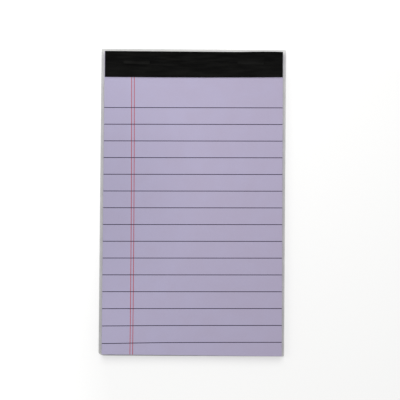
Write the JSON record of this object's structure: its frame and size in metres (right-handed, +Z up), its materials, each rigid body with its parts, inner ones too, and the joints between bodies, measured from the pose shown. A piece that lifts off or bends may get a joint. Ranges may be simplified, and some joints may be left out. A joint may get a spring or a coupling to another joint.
{
  "type": "tear-off memo pad",
  "caption": "Small tear-off memo pad: a block of ruled lilac sheets, stapled and bound at the head in a folded black tape, perforated below the tape, on a grey chipboard back.",
  "frame": {"origin": "middle of the board's underside, on the surface that the pad lies on", "axes": "+X to the right across the writing face, +Y from the foot to the bound head, +Z up out of the writing face"},
  "size_m": [0.0762, 0.1262, 0.0037],
  "materials": {
    "sheet_paper": "matte",
    "tape_paper": "matte",
    "chipboard": "matte",
    "staple_wire": "satin"
  },
  "bodies": {
    "root": {"backing_board": "chipboard", "ruled_sheets": "sheet_paper", "binding_tape": "tape_paper", "wire_staples": "staple_wire"}
  },
  "joints": []
}
